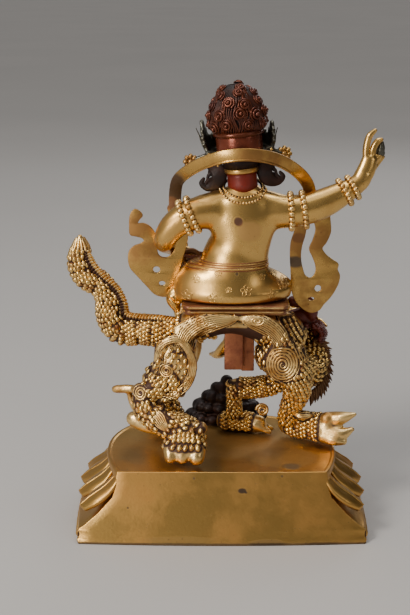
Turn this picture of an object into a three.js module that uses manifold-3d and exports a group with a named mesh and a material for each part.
// A gilt copper-alloy statuette: a seated wealth deity with a mongoose, riding a scaled dragon on a lotus
// plinth. Millimetres, +Z up. The origin is the centre of the plinth's underside. The figure and the
// dragon's head face +Y, the plinth's plain, flat back faces -Y, and the dragon's tail is at -X.
import * as THREE from "three";
import { mergeVertices } from "three/addons/utils/BufferGeometryUtils.js";
import Module from "manifold-3d";

const wasm = await Module();
wasm.setup();

// Driving dimensions
const PLINTH_HEIGHT = 28.8;
const PLINTH_BACK_FOOT = -44; // the flat back at the table
const PLINTH_BACK_TOP = -37; // the flat back at the top edge
const PLINTH_MIDDLE = -9; // where the plan is widest
const PETALS = 17;
const SADDLE_TOP = 92.7;
const AXIS_X = 7.6; // the figure's upright axis
const HEAD_LEAN = -0.087; // the head leans towards its left
const SHEET = 1.3; // thickness of the scarf and the crown's leaves
const GAP = 0.3; // clearance between two castings
const SEAT = SADDLE_TOP + GAP; // the underside of the figure

const V = (x, y, z) => new THREE.Vector3(x, y, z);

// Whatever is built within a frame is set in it.
let frame = new THREE.Matrix4();
function within(matrix, build) {
  const outer = frame;
  frame = matrix;
  const made = build();
  frame = outer;
  return made;
}

// A closed geometry as a solid, with its faces out.
function solid(geometry) {
  const bare = geometry.clone().applyMatrix4(frame);
  bare.deleteAttribute("normal");
  bare.deleteAttribute("uv");
  const merged = mergeVertices(bare, 1e-4);
  const tri = new Uint32Array(merged.index.array);
  const make = () =>
    new wasm.Manifold(
      new wasm.Mesh({ numProp: 3, vertProperties: merged.attributes.position.array, triVerts: tri }),
    );
  const made = make();
  if (made.volume() > 0) return made;
  for (let i = 0; i < tri.length; i += 3) [tri[i + 1], tri[i + 2]] = [tri[i + 2], tri[i + 1]];
  return make();
}

const join = (...parts) => parts.flat(Infinity).reduce((a, b) => a.add(b));

// A limb: a unit cylinder bent along a smooth curve. Each station is [x, y, z, across, deep]: deep is
// the half-size towards ref, across is the half-size at right angles to both ref and the curve. round
// says which ends are rounded. wave scales each ring, and knob scales single points of it.
function limb(
  stations,
  { sides = 5, steps = 3, ref = [0, 1, 0], round = [0, 1], box = false, wave = null, knob = null } = {},
) {
  const path = new THREE.CatmullRomCurve3(stations.map(([x, y, z]) => V(x, y, z)), false, "centripetal");
  const size = new THREE.CatmullRomCurve3(stations.map(([, , , a, b]) => V(a, b ?? a, 0)));
  const rings = [];
  for (let i = 0; i <= steps; i++) rings.push([i / steps, 0, 1]);
  if (round[0]) rings.unshift([0, -0.6 * round[0], 0.58]);
  if (round[1]) rings.push([1, 0.6 * round[1], 0.58]);
  const last = rings.length - 1;
  const geometry = box
    ? new THREE.CylinderGeometry(Math.SQRT2, Math.SQRT2, 1, 4, last).rotateY(Math.PI / 4)
    : new THREE.CylinderGeometry(1, 1, 1, sides, last);
  const frames = rings.map(([t, push, shrink], k) => {
    const tangent = path.getTangent(t);
    const across = new THREE.Vector3().crossVectors(tangent, V(...ref)).normalize();
    const deep = new THREE.Vector3().crossVectors(across, tangent).normalize();
    const s = size.getPoint(t);
    const centre = path.getPoint(t).addScaledVector(tangent, push * Math.min(s.x, s.y));
    const w = shrink * (wave ? wave(k) : 1);
    return { centre, across: across.multiplyScalar(s.x * w), deep: deep.multiplyScalar(s.y * w) };
  });
  const p = geometry.attributes.position;
  for (let i = 0; i < p.count; i++) {
    const f = frames[Math.round((p.getY(i) + 0.5) * last)];
    const w = knob ? knob(
      Math.round((p.getY(i) + 0.5) * last),
      Math.atan2(p.getX(i), p.getZ(i)) / (2 * Math.PI),
    ) : 1;
    const at = f.centre.clone().addScaledVector(
      f.across,
      w * p.getX(i),
    ).addScaledVector(f.deep, w * p.getZ(i));
    p.setXYZ(i, at.x, at.y, at.z);
  }
  return solid(geometry);
}

const blob = ([x, y, z], [rx, ry, rz], wide = 8, high = 6, turn = 0) =>
  solid(
    new THREE.SphereGeometry(
      1,
      wide,
      high,
    ).rotateX(Math.PI / 2).scale(rx, ry, rz).rotateZ(turn).translate(x, y, z),
  );

// A ring about the axis given by a direction vector.
function ring([x, y, z], axis, radius, tube, { around = 12, sides = 3 } = {}) {
  const turn = new THREE.Quaternion().setFromUnitVectors(V(0, 0, 1), V(...axis).normalize());
  return solid(
    new THREE.TorusGeometry(radius, tube, sides, around).applyQuaternion(turn).translate(x, y, z),
  );
}

// The plinth

// The plan at one level: from the right back corner round the front to the left one, then along the bowed
// back.
function plan({ cut, wide, back, bow, front, side = 3, quarter = 6 }) {
  const half = [];
  for (let i = 0; i < side; i++) {
    const t = 1 - i / side;
    half.push([wide - (wide - cut) * t * t, PLINTH_MIDDLE - (PLINTH_MIDDLE - back) * t]);
  }
  for (let i = 0; i <= quarter; i++) {
    const a = ((Math.PI / 2) * i) / quarter;
    half.push([wide * Math.cos(a) ** 0.86, PLINTH_MIDDLE + (front - PLINTH_MIDDLE) * Math.sin(a) ** 0.86]);
  }
  const left = half.slice(0, -1).reverse().map(([x, y]) => [-x, y]);
  return [...half, ...left, [0, back - bow]];
}

// Height, half width at the back corners, half width at the middle, front edge.
const LEVELS = [
  [0, 59, 60, 43.6],
  [2.2, 59.4, 62, 45.6],
  [5.4, 59.4, 62, 45.6],
  [6.8, 57.4, 59.2, 43],
  [12, 51, 53.6, 38.2],
  [18.6, 44.8, 50, 35],
  [25.8, 43.2, 48.6, 33.8],
  [PLINTH_HEIGHT, 42.8, 49, 34.4],
];

const backAt = (z) => PLINTH_BACK_FOOT + ((PLINTH_BACK_TOP - PLINTH_BACK_FOOT) * z) / PLINTH_HEIGHT;

function plinthCore() {
  const outlines = LEVELS.map(([z, cut, wide, front]) =>
    plan(
      { cut, wide, back: backAt(z), bow: 2 - (1.6 * z) / PLINTH_HEIGHT, front },
    ).map(([x, y]) => [x, y, z]),
  );
  const n = outlines[0].length;
  const last = LEVELS.length - 1;
  const g = new THREE.CylinderGeometry(1, 1, 1, n, last);
  const p = g.attributes.position;
  for (let i = 0; i < p.count; i++) {
    const level = outlines[Math.round((p.getY(i) + 0.5) * last)];
    const turn = Math.atan2(p.getX(i), p.getZ(i)) / (2 * Math.PI);
    const onAxis = Math.hypot(p.getX(i), p.getZ(i)) < 0.5;
    p.setXYZ(i, ...(onAxis ? [0, -4, level[0][2]] : level[(Math.round(turn * n) + n) % n]));
  }
  return solid(g);
}

// Long downturned petals round the sides and the front, each rising from the rim to a full, upcurled tip.
function petals() {
  const outline = (z, out) => {
    const k = LEVELS.findIndex(([h]) => h >= z);
    const [a, b] = [LEVELS[k - 1], LEVELS[k]];
    const t = (z - a[0]) / (b[0] - a[0]);
    const [cut, wide, front] = [1, 2, 3].map((i) => a[i] + (b[i] - a[i]) * t + out);
    const rim = plan({ cut, wide, back: backAt(z) + 2, bow: 0, front, side: 6, quarter: 16 }).slice(0, -1);
    return new THREE.CatmullRomCurve3(rim.map(([x, y]) => V(x, y, z)));
  };
  const rows = [
    [25.4, -0.8, 4.4, 1.2],
    [21, 2, 5.9, 2],
    [16.4, 5.2, 5.8, 2.4],
    [13.4, 6.6, 3, 1.7],
  ].map(([z, out, across, deep]) => ({ curve: outline(z, out), across, deep }));
  return Array.from({ length: PETALS }, (_, i) => {
    const u = 0.012 + (0.976 * i) / (PETALS - 1);
    const t = rows[1].curve.getTangentAt(u);
    const stations = rows.map(({ curve, across, deep }) => [...curve.getPointAt(u), across, deep]);
    return limb(stations, { sides: 4, steps: 3, ref: [t.y, -t.x, 0.45], round: [0, 0.7] });
  });
}

// A heap of round jewels on the front of the top.
function heap() {
  const stones = [
    [-13, 25, 33.4],
    [-9.4, 25, 37.4],
    [-5.4, 25, 41.8],
    [-1.2, 25, 45.4],
    [4.2, 25, 46.6],
    [10, 25, 41.4],
    [15.4, 25, 35],
    [-4, 30, 36],
    [6.6, 30.4, 36.4],
  ];
  return [
    limb([[2.6, 25, 27, 18, 7], [2.6, 25, 47, 3.4, 3]], { sides: 6, steps: 1, round: [0, 0] }),
    stones.map(([x, y, z]) => blob([x, y, z], [3.3, 3.3, 3.3], 5, 4, x)),
  ];
}

// The dragon. In its pieces s is -1 on the near side, towards the plinth's flat back, and +1 on the far
// side.

function slab(x, y, z0, z1, r) {
  const [x0, x1] = x;
  const s = new THREE.Shape();
  s.moveTo(x0 + r, -y).lineTo(x1 - r, -y).quadraticCurveTo(x1, -y, x1, -y + r);
  s.lineTo(x1, y - r).quadraticCurveTo(x1, y, x1 - r, y);
  s.lineTo(x0 + r, y).quadraticCurveTo(x0, y, x0, y - r);
  s.lineTo(x0, -y + r).quadraticCurveTo(x0, -y, x0 + r, -y);
  return solid(
    new THREE.ExtrudeGeometry(
      s,
      { depth: z1 - z0, bevelEnabled: false, curveSegments: 2 },
    ).translate(0, 0, z0),
  );
}

function barrel() {
  return [
    limb(
      [
        [-16, -0.5, 78.6, 6.2, 8.6],
        [-9, -0.5, 82.4, 7.6, 12.6],
        [4, 0, 83.8, 6.4, 13.2],
        [17, 0, 82, 8.6, 13],
        [27, 1, 77, 9.5, 10.6],
      ],
      { sides: 10, steps: 5, round: [1, 1] },
    ),
    // saddle cloth in two layers
    slab([-15.6, 27.2], 13.6, 88.6, 91.1, 3),
    slab([-16.2, 27.8], 14.2, 90.9, SADDLE_TOP, 3),
    // two flame-shaped tufts that meet on each flank
    [-1, 1].map((s) => [
      limb([
        [-17, s * 13.4, 80, 5.4, 2.6],
        [-9, s * 14.8, 86, 3.8, 2.4],
        [0, s * 15, 87, 3, 2],
        [7.4, s * 14.4, 88, 0.9, 1.4],
      ], {
        sides: 5,
      }),
      limb([
        [5.6, s * 14, 87.4, 0.9, 1.4],
        [14, s * 14.8, 86.8, 2.9, 2.2],
        [21.5, s * 14.8, 83.4, 3.9, 2.6],
        [26, s * 13.6, 76, 4.4, 3],
      ], {
        sides: 5,
      }),
    ]),
  ];
}

// The tail rises in an S from the rump, with a row of oblique spines along its outer side.
function tail() {
  return [
    limb(
      [
        [-14, -1, 78, 6, 6],
        [-24, 0, 77.6, 6.2, 6],
        [-34, 1.5, 78.4, 6.5, 6],
        [-43, 2, 78.6, 6.6, 5.8],
        [-47.3, 2, 85, 6, 5.6],
        [-47.4, 2, 91.6, 5.8, 5.4],
        [-50.6, 2, 97.6, 5.2, 5.2],
        [-57, 2, 102, 5.6, 5],
        [-59.8, 2, 108, 5, 4.6],
        [-59.2, 2, 114, 3.8, 3.8],
        [-59.4, 2, 118.8, 1.2, 1.3],
      ],
      { sides: 7, steps: 14 },
    ),
    limb(
      [
        [-20, -0.4, 82.4, 1.6, 2.2],
        [-27, 0.4, 84.4, 1.9, 2.2],
        [-35, 1.6, 84.8, 1.9, 2.2],
        [-40.4, 2, 85.4, 1.8, 2.2],
        [-41.8, 2, 91, 1.8, 2.2],
        [-44.6, 2, 97, 1.8, 2.2],
        [-50.8, 2, 103, 1.7, 2],
        [-54.9, 2, 109, 1.5, 1.8],
        [-56.6, 2, 114.6, 1, 1.2],
      ],
      { sides: 3, steps: 18, wave: (k) => (k % 2 ? 1.3 : 0.8) },
    ),
  ];
}

// A spiral ridge in low relief on the side of a joint.
function whorl([x, y, z], rx, rz, s) {
  const stations = [];
  for (let i = 0; i <= 10; i++) {
    const a = (2 * Math.PI * i) / 5.6;
    const r = 1 - 0.85 * (i / 10);
    stations.push([x + rx * r * Math.cos(a), y + (s * 1.6 * i) / 10, z + rz * r * Math.sin(a), 1.2, 1.3]);
  }
  return limb(stations, { sides: 3, steps: 12, round: [0, 0] });
}

// A hind leg. hip shifts the haunch along X, and the foot is given by the middle of its instep and its
// breadth. The near leg has its full carving.
function hindLeg(s, hip, [hx, hy], [fx, fy, fz], breadth) {
  const y = (d) => s * d - 1;
  const roll = [
    [-27.2, 13.4, 67],
    [-24.6, 14.6, 77],
    [-17, 15, 79],
    [-11.8, 15.2, 69],
    [-14.6, 14.6, 58.6],
    [-21, 13.8, 54],
    [-28.5, 13, 51],
  ];
  const parts = [
    blob([-19.4 + hip, y(10.6), 67.4], [8, 5.6, 12.2], 8, 6),
    // the rolled edge that curls round the haunch and runs down under the shank
    limb(roll.map(([x, d, z]) => [x + hip, y(d), z, 1.9, 1.8]), { sides: 4, steps: 10 }),
    limb(
      [
        [-20 + hip, y(11), 61, 7, 5],
        [-27.5 + hip, y(12), 57, 5, 4.4],
        [hx + 1.4, hy, 54.4, 4.2, 4],
        [hx + 2.6, hy + s * 2, 48, 4.8, 4.4],
        [(hx + fx) / 2 + 1, (hy + fy) / 2 + s * 2, 43.6, 5.4, 5],
        [fx - 1, fy - s * 1.6, 39.6, 6, 5.6],
      ],
      { sides: 7, steps: 7, round: [0, 0.4] },
    ),
    // instep and the pads of three toes
    limb([
      [fx - 3, fy - s * 4.6, fz + 3, 0.75, 6],
      [fx, fy, fz + 0.6, 1, 7.2],
      [fx + 0.4, fy + s * 6.4, fz - 4, 0.93, 4.6],
    ].map(([x, yy, z, a, b]) => [x, yy, z, a * breadth, b]), {
      sides: 8,
      steps: 3,
      ref: [0, 0, 1],
      round: [0, 1],
    }),
    [-0.7, 0, 0.7].map((t) => t * breadth).map((d) =>
      limb([
        [fx + d * 0.8, fy + s * 3, fz - 2, 3.4],
        [fx + d, fy + s * (9 - Math.abs(d) / 4), fz - 5, 2.6],
        [fx + d, fy + s * 9.4, fz - 8, 1.7],
      ], {
        sides: 5,
        steps: 2,
        ref: [1, 0, 0],
      }),
    ),
  ];
  if (s > 0) return parts;
  return [
    ...parts,
    // hock: a curled tuft, a spur that points back, and a ridge down to the heel claw
    blob([hx, hy, 56.2], [3.6, 2.8, 3.6], 6, 4),
    limb(
      [[hx - 1, hy + 1.6, 56.4, 1.9], [hx - 10.6, hy + 5, 55.2, 1.9]],
      { sides: 5, steps: 1, round: [0, 1.2] },
    ),
    limb([[hx - 6.4, hy + 4, 55.6, 1.3], [hx - 4.4, hy + 4.4, 48, 1.4], [hx - 0.4, hy + 4, 41.4, 1.4]], {
      sides: 4,
      steps: 2,
    }),
    limb(
      [[hx + 6, hy - 1.4, 39.5, 3], [hx - 1, hy + 4, 39.4, 2.6], [hx - 5.6, hy + 7, 41, 2.7]],
      { steps: 2 },
    ),
    // leaf-shaped tuft on the shank, and the curled knob on the instep's inner side
    limb([
      [fx - 4.6, fy - 1.6, 45, 1, 0.9],
      [fx - 8.4, fy + 0.6, 49.4, 2.6, 1.6],
      [fx - 11.6, fy + 3, 53, 0.8, 0.9],
    ], {
      sides: 4,
      steps: 2,
    }),
    blob([fx + 7.2, fy - 4.6, fz + 5.6], [2.6, 2.6, 2.6], 6, 4),
  ];
}

function forelegs() {
  const flat = [0, 0, 1];
  return [
    // near shoulder, knee and wrist, with a ridge down the front
    blob([26, -9.6, 68], [9, 5.6, 10.5], 9, 6),
    whorl([25.6, -13.8, 67.6], 6.6, 7.8, -1),
    limb(
      [
        [27.5, -8.5, 68, 9, 5.6],
        [31.6, -8.4, 60, 6.8, 5.4],
        [32.4, -6, 52.6, 5.6, 4.8],
        [30.2, -1, 44, 4.4, 4.4],
        [29.8, 3, 37, 4.8, 4.8],
      ],
      { sides: 8, steps: 5, round: [0, 0] },
    ),
    limb([[30.4, -6.5, 80, 1.2], [38, -7.5, 62.4, 1.4], [37.6, -6.5, 55.6, 1.4], [34, -3.5, 47.4, 1.2]], {
      sides: 4,
      steps: 5,
      round: [0, 0],
    }),
    // near foot: a thick pad with raised, stout claws
    limb(
      [[29.6, 5, 35, 5, 6], [38, 0.4, 34.8, 5.4, 6.2], [46, -4, 35.6, 5.6, 6.4]],
      { sides: 8, steps: 2, ref: flat, round: [1, 1] },
    ),
    limb(
      [[45, -3.4, 39, 4], [51.4, -6.4, 41, 3.3], [57.6, -8.6, 43.8, 0.9]],
      { sides: 5, steps: 2, ref: flat },
    ),
    limb(
      [[45, -6, 34.6, 4], [51.6, -8.6, 34.6, 3.3], [56, -9, 36.8, 1.4]],
      { sides: 5, steps: 2, ref: flat },
    ),
    limb(
      [[43.6, -6, 33, 3.6], [48.6, -9.4, 32.2, 2.9], [52.4, -10.4, 31.8, 1.9]],
      { sides: 5, steps: 2, ref: flat },
    ),
    limb(
      [[31.5, -3.5, 41.6, 0.9, 1], [36, -4.8, 42.8, 2.4, 1.6], [40.6, -4.4, 41.8, 0.8, 0.9]],
      { sides: 4, steps: 2 },
    ),
    // far shoulder, a forearm that runs back to the elbow, and an upright shank
    blob([25, 9.6, 67], [8.6, 5.6, 10], 8, 6),
    limb(
      [[27, 7, 60, 7, 5], [24, 7.6, 52.6, 5, 4.6], [15, 8, 50, 4.5, 4.2], [7.4, 8.4, 50, 4.5, 4]],
      { steps: 4 },
    ),
    limb(
      [[6, 8.6, 51.6, 3.4, 3.6], [5.9, 9.4, 44, 3, 3.2], [6.2, 10.4, 35.5, 3.4, 3.4]],
      { steps: 2, round: [0, 0] },
    ),
    limb(
      [[1.2, 12, 33, 3.4, 4.2], [9, 10.6, 33.2, 4.2, 4.6], [17, 8, 33, 3.6, 4.2]],
      { sides: 6, steps: 2, ref: flat, round: [1, 1] },
    ),
    [[20.4, 12.2], [22.6, 8.6], [21.6, 4.4]].map(([x, y]) =>
      limb([[15, (y + 9) / 2, 33.2, 2.6], [x, y, 30.4, 1.3]], { steps: 1, ref: flat }),
    ),
    // curled tuft inside the bend
    ring([18.2, 6.4, 40.8], [0, 1, 0], 2.1, 1.1, { around: 8, sides: 3 }),
    limb([[25, 4, 46, 2], [21.4, 5.6, 43.6, 1.4], [19.6, 6.2, 40.4, 1]], { sides: 4, steps: 2 }),
    limb([[18, 6.6, 39.6, 1.2], [15.4, 8, 35, 1.6]], { sides: 4, steps: 1 }),
  ];
}

// Neck, mane and head. The head is made facing +Y about its own centre, then turned and set in place.
function neckAndHead() {
  const neck = [
    limb(
      [
        [24, 2, 68, 10, 9],
        [33, 7, 59, 8, 8],
        [40.4, 13, 56.6, 6.6, 6.6],
        [41, 19.5, 63, 6.4, 6.4],
        [36.6, 25, 70, 6.6, 6.6],
      ],
      { sides: 8, steps: 6, round: [0, 0] },
    ),
    // spiny ridge outside the neck's bend
    limb([
      [40, 6, 46.4, 1.2, 1.8],
      [45.6, 10, 50, 1.6, 2.2],
      [47.4, 14, 57, 1.8, 2.2],
      [46, 17, 65, 1.6, 2],
      [42, 16, 70.6, 1.2, 1.6],
    ], {
      sides: 3,
      steps: 12,
      wave: (k) => (k % 2 ? 1.3 : 0.75),
      round: [0, 0],
    }),
  ];
  const place = new THREE.Matrix4().makeRotationFromEuler(
    new THREE.Euler(0.2, -0.1, 0.22),
  ).setPosition(33.8, 27.4, 73);
  const flat = [0, 0, 1];
  const head = within(place, () => [
    blob([0, 0, 0], [7.2, 8.4, 6.6], 8, 6),
    limb([[0, 3, 0.6, 6, 4.4], [0, 9, 1, 5, 3.4], [0, 14, 2.4, 4, 2.9]], { steps: 2, ref: flat }),
    limb(
      [[0, 0, -4.4, 5.4, 2.6], [0, 7, -6.6, 4.2, 1.9], [0, 12.4, -6.6, 2.8, 1.5]],
      { sides: 5, steps: 2, ref: flat },
    ),
    [-1, 1].map((s) => [
      blob([s * 2.4, 14.8, 4], [1.9, 2, 1.9], 5, 4),
      blob([s * 4.4, 4.6, 4.4], [3, 3.2, 2.6], 6, 4),
      limb(
        [[s * 3, -2, 5, 1.9], [s * 4.6, -9, 8, 1.3], [s * 6.2, -15, 9.4, 0.6]],
        { sides: 4, steps: 2, ref: flat },
      ),
      limb(
        [[s * 6, -2, 1, 1.6, 1], [s * 9.4, -5, 2.4, 2.4, 1.2], [s * 11.6, -9, 2, 0.7, 0.7]],
        { sides: 4, steps: 2, ref: [s, 1, 0] },
      ),
      limb([[s * 4.6, 4, -5, 1.7], [s * 3.4, 2.4, -13, 0.8]], { sides: 4, steps: 1 }),
    ]),
    // curled locks of the mane behind the jaw and the crown of the head
    Array.from({ length: 6 }, (_, i) => {
      const a = -0.3 + ((Math.PI + 0.6) * i) / 5;
      const [c, n] = [Math.cos(a), Math.sin(a)];
      return limb([
        [c * 5, -3, n * 4.4, 3.2, 2.4],
        [c * 8.2, -10, n * 6, 3.2, 2.4],
        [c * 7, -15.6, n * 5 + 2, 1.4, 1.4],
      ], {
        sides: 5,
        steps: 2,
        ref: [c, 0, n],
      });
    }),
  ]);
  return [neck, head];
}

// The figure

function trunk() {
  const x = AXIS_X;
  return [
    // robe over the hips, then the waist, back and shoulders
    limb(
      [
        [5.2, 1.4, SEAT, 22.4, 12.6],
        [5, 0.8, 95.6, 24, 15],
        [4.8, 0.4, 99.6, 24.2, 15.2],
        [5, -0.4, 103.6, 21.6, 13.6],
        [5.3, -1, 107.4, 16.2, 11.8],
        [5.3, -1.2, 109.8, 15.3, 11.4],
      ],
      { sides: 16, steps: 5, round: [0, 0] },
    ),
    limb(
      [
        [5.3, -1, 108, 14.4, 10.6],
        [6.2, -0.6, 113, 13.8, 10.8],
        [x + 0.3, -1.6, 119, 12.2, 9.4],
        [x + 0.8, -2, 125, 14, 9],
        [x + 1.2, -1.8, 131, 16.4, 8.4],
        [x + 1, -1, 136, 12, 7],
        [x + 0.6, 0, 139.4, 6.8, 6],
      ],
      { sides: 12, steps: 7, round: [0, 0] },
    ),
    blob([5, 6.4, 113], [11.5, 8, 8.4], 8, 6),
    blob([x - 5.6, 4.4, 129.6], [6, 3.8, 5], 6, 4),
    blob([x + 7.2, 4.4, 129.6], [6, 3.8, 5], 6, 4),
  ];
}

function legs() {
  const flat = [0, 0, 1];
  return [
    // left leg folded on the saddle, its hem hanging past the saddle's edge
    limb(
      [[-2, 2, 100, 8, 8], [-11, 8, 99.6, 7.8, 7.4], [-15.6, 13, 98.6, 6.2, 5.8]],
      { sides: 7, steps: 2, ref: flat },
    ),
    limb([
      [-15, 14, 98, 5.4, 5],
      [-7, 19, 97.4, 4.6, 4.4],
      [3, 20, 96.6, 3.8, 3.4],
      [8, 19, 96.2, 4.2, 2.7],
    ], {
      sides: 6,
      steps: 3,
      ref: flat,
    }),
    limb([[-12, 1, 97, 5, 3.4], [-19.6, 0.4, 92, 3.6, 3], [-18.6, 0.4, 87, 1.6, 2]], { sides: 6 }),
    // right leg hanging down towards the jewels
    limb(
      [[12, 4, 100, 8.4, 8], [19, 11, 100.4, 7.4, 7.2], [23, 18, 98.6, 6, 6]],
      { sides: 7, steps: 2, ref: flat },
    ),
    limb(
      [[22.6, 19.4, 98, 5.6, 5.6], [18, 22.4, 89, 5.2, 5], [10.4, 24, 77, 4, 4], [4, 24, 67, 3, 3]],
      { steps: 3 },
    ),
    limb(
      [[4, 23.4, 66, 3, 3], [1, 26, 61.6, 2.8, 3], [-1, 30.6, 58, 3.2, 2], [-2, 34.4, 57.4, 3, 1.4]],
      { steps: 3, ref: flat },
    ),
    // the robe's front fold between the knees
    limb(
      [[4, 12, 101, 9, 5], [4, 17.4, 97.4, 7.6, 3.6], [4.4, 18.6, 89, 5.6, 1.8], [4.6, 18.4, 84, 3, 1.2]],
      { steps: 3 },
    ),
  ];
}

function arms() {
  const bands = [
    [[-12.1, -3.6, 129.4], [-0.926, 0, -0.378], 6.9],
    [[-15.5, -3.8, 128], [-0.926, 0, -0.378], 6.7],
    [[28.7, -2.5, 130.4], [1, 0, 0.05], 6.6],
    [[34.1, -2.4, 131.2], [1, 0, 0.15], 6.7],
    [[51, -0.8, 138], [0.86, 0.1, 0.5], 5.8],
    [[55.2, 0, 140.3], [0.86, 0.1, 0.5], 5.1],
  ];
  const finger = (...stations) => limb(stations, { sides: 4, steps: 3 });
  return [
    limb(
      [
        [0, -2.4, 131, 6.4, 6.2],
        [-9, -3, 130.4, 6.4, 6],
        [-15, -3.5, 128.4, 6.2, 5.7],
        [-20.2, -3.6, 124.2, 5.4, 5.1],
        [-23.4, -2, 119, 4.3, 4.3],
        [-24, 4, 115.4, 3.4, 3.4],
        [-22.6, 9.6, 113, 3.1, 3.1],
        [-18, 13.2, 110.6, 3.1, 3.1],
        [-14, 13.6, 108.6, 3, 3.4],
      ],
      { sides: 8, steps: 11, ref: [0, 0.7, 0.7] },
    ),
    limb(
      [
        [17, -2.4, 131, 6.4, 6.2],
        [26, -2.5, 130.4, 6.1, 5.9],
        [34, -2.4, 131.2, 6.3, 5.9],
        [42, -2, 133.9, 6.1, 5.7],
        [49, -1, 137, 5.3, 5],
        [54.5, 0, 140, 4.2, 3.8],
        [58, 0.5, 142.6, 4, 3.4],
      ],
      { sides: 8, steps: 7, round: [0, 0] },
    ),
    // raised right hand
    limb(
      [[57, 0.4, 142, 3.9, 3.3], [59.8, 1.2, 147, 3.9, 2.7], [61.2, 2, 151.6, 3.2, 2.1]],
      { sides: 6, steps: 2 },
    ),
    finger([59.8, 2, 151, 1.7], [59.6, 2, 156.4, 1.6], [60.8, 2, 161, 1.5], [62.8, 2, 163, 1]),
    finger([62, 2.6, 151.6, 1.7], [62.8, 3.2, 156, 1.6], [64.6, 3.8, 158.6, 1.5], [66, 4, 159.2, 1]),
    finger([62.6, 4, 150, 1.7], [65.6, 6, 153, 1.6], [66.4, 6.6, 156, 1.2]),
    finger([61.4, 3.4, 145.6, 1.9], [64.4, 6, 149, 1.7], [67, 6.6, 151.6, 1.2]),
    bands.map(([at, axis, r]) => ring(at, axis, r, 1.3, { around: 8 })),
  ];
}

function mongoose() {
  const flat = [0, 0, 1];
  return [
    limb(
      [[-16.5, 14.4, 102.6, 2.4], [-12, 15.4, 105, 3], [-7, 17.4, 106, 2.6], [-4, 20.6, 105.4, 1.6]],
      { ref: flat },
    ),
    ring([-12.8, 9.4, 107.6], [0, 1, 0.1], 3.4, 1.6, { around: 10, sides: 4 }),
    limb([[-12, 14, 104, 1.8], [-11.4, 10, 104.4, 1.7]], { sides: 5, steps: 1, ref: flat }),
    limb(
      [[-13, 12.6, 99.6, 3], [-15, 9.4, 101, 2.4], [-12.6, 9.4, 104.6, 1.4]],
      { sides: 5, steps: 2, ref: [1, 0, 0] },
    ),
  ];
}

// The head, the hair and the crown lean together about a point in the neck.
const LEAN = new THREE.Matrix4()
  .makeTranslation(AXIS_X + 0.4, 0, 149)
  .multiply(new THREE.Matrix4().makeRotationY(HEAD_LEAN))
  .multiply(new THREE.Matrix4().makeTranslation(0, 0, -149));

function head() {
  return [
    limb([[0, -0.4, 145, 6.3, 6.1], [0.2, -0.4, 149, 6.4, 6.2]], { sides: 10, steps: 1, round: [0, 0] }),
    // band at the nape
    limb([[0, -0.4, 147, 6.9, 6.8], [0, -0.4, 149.8, 7, 6.9]], { sides: 10, steps: 1, round: [0, 0] }),
    blob([0, 0.6, 155], [9.7, 9.4, 8], 10, 6),
    blob([0, 4.4, 150.2], [7.4, 6.6, 6.8], 8, 6),
    limb([[0, 8.6, 154, 0.9, 0.8], [0, 11.6, 150.6, 1.8, 1.2]], { steps: 1 }),
    [-1, 1].map(
      (s) => limb(
        [[s * 8.8, 0.6, 152.6, 1.2, 1.9], [s * 9.6, 0.8, 149.6, 1.1, 1.6], [s * 9.2, 1, 145.4, 1.2, 1.5]],
        { steps: 2, round: [0, 1] },
      ),
    ),
    // rolled rim under the hair
    ring([0, 0, 161.6], [0, 0, 1], 9.6, 1.5, { around: 12 }),
    // upswept hair, knobbed with the round curls that its locks end in
    limb(
      [
        [0, 0, 161, 10, 9],
        [0, 0, 163, 11.4, 10],
        [0, 0, 169, 12, 10.4],
        [0, 0, 175, 10.6, 9.4],
        [0, 0, 180, 7.6, 7],
        [0, 0, 183.6, 3.4, 3.2],
      ],
      {
        sides: 18,
        steps: 10,
        round: [0, 0.6],
        knob: (k, turn) => (k % 2 && (Math.round(turn * 18) + (k - 1) / 2) % 2 ? 1.12 : 0.97),
      },
    ),
  ];
}

function neck() {
  const x = AXIS_X;
  return [
    limb(
      [[x + 0.6, -0.6, 136, 6.8, 6.4], [x + 0.5, -0.4, 141, 6.3, 6.1], [x + 0.4, 0, 147, 6.2, 6]],
      { sides: 10, steps: 2, round: [0, 0] },
    ),
    // the necklace, plain here
    ring([x + 0.8, 0.6, 139], [0, -0.32, 1], 9.2, 1.5, { around: 14, sides: 4 }),
  ];
}

// Two flat copper tangs under the seat. grow is the clearance when they cut their slot in the dragon.
function tangs(grow) {
  const bar = (x, y, z) => {
    const size = [x, y, z].map(([a, b]) => b - a + 2 * grow);
    const mid = [x, y, z].map(([a, b]) => (a + b) / 2);
    return solid(new THREE.BoxGeometry(...size).translate(...mid));
  };
  return [
    bar([1.6, 8.4], [-8, -4.6], [63.2, SEAT + 2]),
    bar([8.9, 13.8], [-3.4, 0], [61.2, SEAT + 2]),
    bar([3, 13], [-6.4, -1], [80, SEAT + 2]),
  ];
}

// The scarf and the crown

function toShape(points) {
  const outline = points.map(([x, z]) => new THREE.Vector2(x, z));
  return new THREE.Shape(THREE.ShapeUtils.isClockWise(outline) ? outline.reverse() : outline);
}

function hole(x, z, r, stretch = 1) {
  const p = new THREE.Path();
  p.absellipse(x, z, r * stretch, r, 0, 2 * Math.PI, true);
  return new THREE.Path(p.getPoints(5).slice(0, -1));
}

// An upright sheet from its outline in XZ, its near face at y.
function sheet(shape, y) {
  const g = new THREE.ExtrudeGeometry(shape, { depth: SHEET, bevelEnabled: false, curveSegments: 8 });
  return solid(g.rotateX(Math.PI / 2).translate(0, y + SHEET, 0));
}

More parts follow.
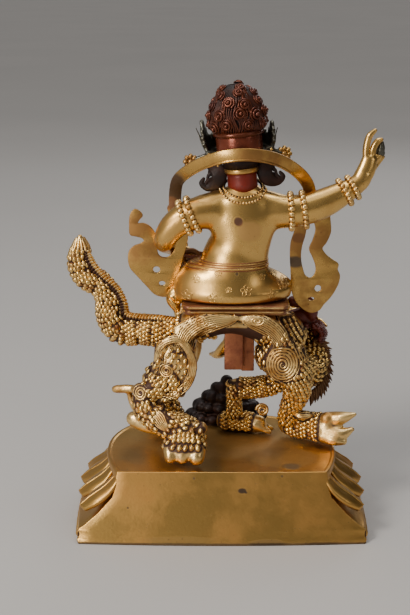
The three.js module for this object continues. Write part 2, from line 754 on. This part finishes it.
function scarf() {
  const [leftY, rightY] = [4.7, 6.1];
  // the strip that passes behind the head and comes forward to each arm
  const arch = [
    [-19.4, leftY + 0.65, 128],
    [-19.4, leftY + 0.5, 136],
    [-18.2, 1.4, 142.4],
    [-13.6, -4.6, 147.6],
    [-7, -9.6, 151.8],
    [1, -14, 154.8],
    [9, -15.4, 155.7],
    [17, -13.8, 154.8],
    [23.4, -9.6, 152.4],
    [29.4, -4.4, 148.4],
    [34.2, 1, 143.4],
    [36.8, rightY - 0.6, 138],
    [37, rightY + 0.65, 130],
  ].map((p) => [...p, 2.6, SHEET / 2]);
  const left = toShape([
    [-22.4, 131],
    [-20.4, 124],
    [-19.2, 117.6],
    [-20.2, 111.4],
    [-23.2, 108.9],
    [-26.8, 109.6],
    [-28, 112.4],
    [-28.2, 117.4],
    [-29.8, 121.4],
    [-32, 123.8],
    [-34.6, 125.2],
    [-33.9, 127.8],
    [-35.2, 129.6],
    [-37.2, 129.7],
    [-38.6, 127],
    [-38.6, 122],
    [-37.4, 119],
    [-33.6, 117],
    [-34.4, 115.6],
    [-38, 113.4],
    [-39.4, 110.4],
    [-39, 105.4],
    [-35.6, 101],
    [-32, 97],
    [-28, 92.9],
    [-23.4, 92],
    [-20.4, 93.4],
    [-19, 99.4],
    [-17.5, 105.2],
    [-15.7, 111.2],
    [-14.3, 117.6],
    [-15, 125],
    [-16.4, 131],
  ]);
  left.holes.push(hole(-27.5, 103.8, 1.6), hole(-25.2, 97.8, 1.2, 1.3));
  const right = toShape([
    [40.8, 133],
    [45, 129],
    [46, 124],
    [46.2, 119.8],
    [44.4, 115.2],
    [42.8, 112.8],
    [44.4, 110],
    [47.4, 107.6],
    [49.8, 105.8],
    [49.5, 103.6],
    [50.5, 101],
    [50.2, 98],
    [48.6, 94.2],
    [46.2, 90.6],
    [44, 88.2],
    [42.2, 85.7],
    [38.8, 84.6],
    [35.2, 86.2],
    [31.8, 90],
    [30.3, 94.4],
    [29.8, 103],
    [29.4, 109],
    [29.6, 115],
    [31.2, 121],
    [32, 131],
    [35.6, 131],
    [36, 124],
    [35.5, 119],
    [34, 113],
    [33.8, 108],
    [34.8, 103.4],
    [36, 100.6],
    [38.4, 99.7],
    [40.2, 102],
    [40.3, 105],
    [39, 108.8],
    [37.5, 112.4],
    [39, 116.6],
    [40, 121],
    [39, 125],
    [38.6, 131],
  ]);
  right.holes.push(hole(41.4, 95.2, 1.6), hole(38.6, 90.6, 1, 1.6));
  return join(
    limb(arch, { box: true, steps: 18, round: [0, 0] }),
    sheet(left, leftY),
    sheet(right, rightY),
  );
}

function crown() {
  const parts = [];
  // band over the brow, open at the back
  const turn = Math.PI * 1.14;
  const arc = [];
  for (let i = 0; i <= 8; i++) {
    const a = Math.PI / 2 - turn / 2 + (turn * i) / 8;
    arc.push([12.3 * Math.cos(a), 0.6 + 12.3 * Math.sin(a), 155, 1.8, 1.3]);
  }
  parts.push(limb(arc, { box: true, steps: 8, ref: [0, 0, 1], round: [0, 0] }));
  // five leaves: a waisted foot, full shoulders and a point
  [-64, -32, 0, 32, 64].forEach((degrees, i) => {
    const tall = [16, 15, 18, 15, 16][i];
    const leaf = new THREE.Shape();
    leaf.moveTo(-2.6, 0).lineTo(2.6, 0);
    leaf.bezierCurveTo(5.4, 2, 5.2, 6, 3.6, 8);
    leaf.bezierCurveTo(3.2, 10.5, 1.2, tall - 4, 0, tall);
    leaf.bezierCurveTo(-1.2, tall - 4, -3.2, 10.5, -3.6, 8);
    leaf.bezierCurveTo(-5.2, 6, -5.4, 2, -2.6, 0);
    const g = new THREE.ExtrudeGeometry(leaf, { depth: SHEET, bevelEnabled: false, curveSegments: 2 })
      .rotateX(Math.PI / 2)
      .rotateZ(Math.PI)
      .rotateX(-0.22);
    parts.push(
      solid(g.translate(0, 13.8, 153.8).rotateZ(-THREE.MathUtils.degToRad(degrees)).translate(0, 0.6, 0)),
    );
  });
  // ear rosettes and the ribbon curls under them
  for (const [s, x, z] of [[1, 18.2, 152.2], [-1, -20.6, 152.2]]) {
    const y = 1.8;
    parts.push(
      limb([[s * 12, -0.8, 155, 1.1], [x, y, z, 1.1]], { sides: 4, steps: 1, ref: [0, 0, 1] }),
      blob([x, y, z], [3.2, 1.5, 3.2], 6, 4),
      limb(
        [
          [x - s, y, z - 1.6, 1, 0.9],
          [s * 15, y, 145, 1, 0.9],
          [s * 13.4, y, 141.6, 1.1, 0.9],
          [s * 16.2, y, 139, 1.2, 0.9],
        ],
        { sides: 4 },
      ),
    );
  }
  return parts;
}

// Assembly

const statuette = new THREE.Group();

function add(name, made, colour, roughness) {
  const mesh = made
    .decompose()
    .reduce((a, b) => (a.volume() > b.volume() ? a : b))
    .getMesh();
  const g = new THREE.BufferGeometry();
  g.setAttribute("position", new THREE.BufferAttribute(new Float32Array(mesh.vertProperties), 3));
  g.setIndex(new THREE.BufferAttribute(new Uint32Array(mesh.triVerts), 1));
  const piece = new THREE.Mesh(
    g,
    new THREE.MeshStandardMaterial({ color: colour, roughness, metalness: 0.9 }),
  );
  piece.name = name;
  statuette.add(piece);
}

const near = hindLeg(-1, 0, [-34, -14.6], [-15.6, -21, 38.2], 8.6);
const far = hindLeg(1, 1.8, [-31, 11], [-24.6, 13, 37.4], 6.6);
// The feet are flat where they stand, and the figure where it sits.
const ground = solid(new THREE.BoxGeometry(140, 100, 20).translate(0, 0, PLINTH_HEIGHT + GAP - 10));
const seat = slab([-16.5, 28.1], 14.5, SEAT - 6, SEAT, 3.3);

const mount = join(
  barrel(),
  tail(),
  near,
  far,
  forelegs(),
  neckAndHead(),
).subtract(join(tangs(GAP), ground));
const rider = join(trunk(), legs(), arms(), mongoose(), neck(), within(LEAN, head)).subtract(seat);

add("plinth", join(plinthCore(), petals(), heap()), 0xb8893a, 0.38);
add("dragon", mount, 0xc09642, 0.42);
add("jambhala", join(rider, tangs(0)), 0xc79a45, 0.32);
add("crown", join(within(LEAN, crown)), 0x3a3428, 0.5);
add("scarf", scarf(), 0xb08a40, 0.4);

export default statuette;
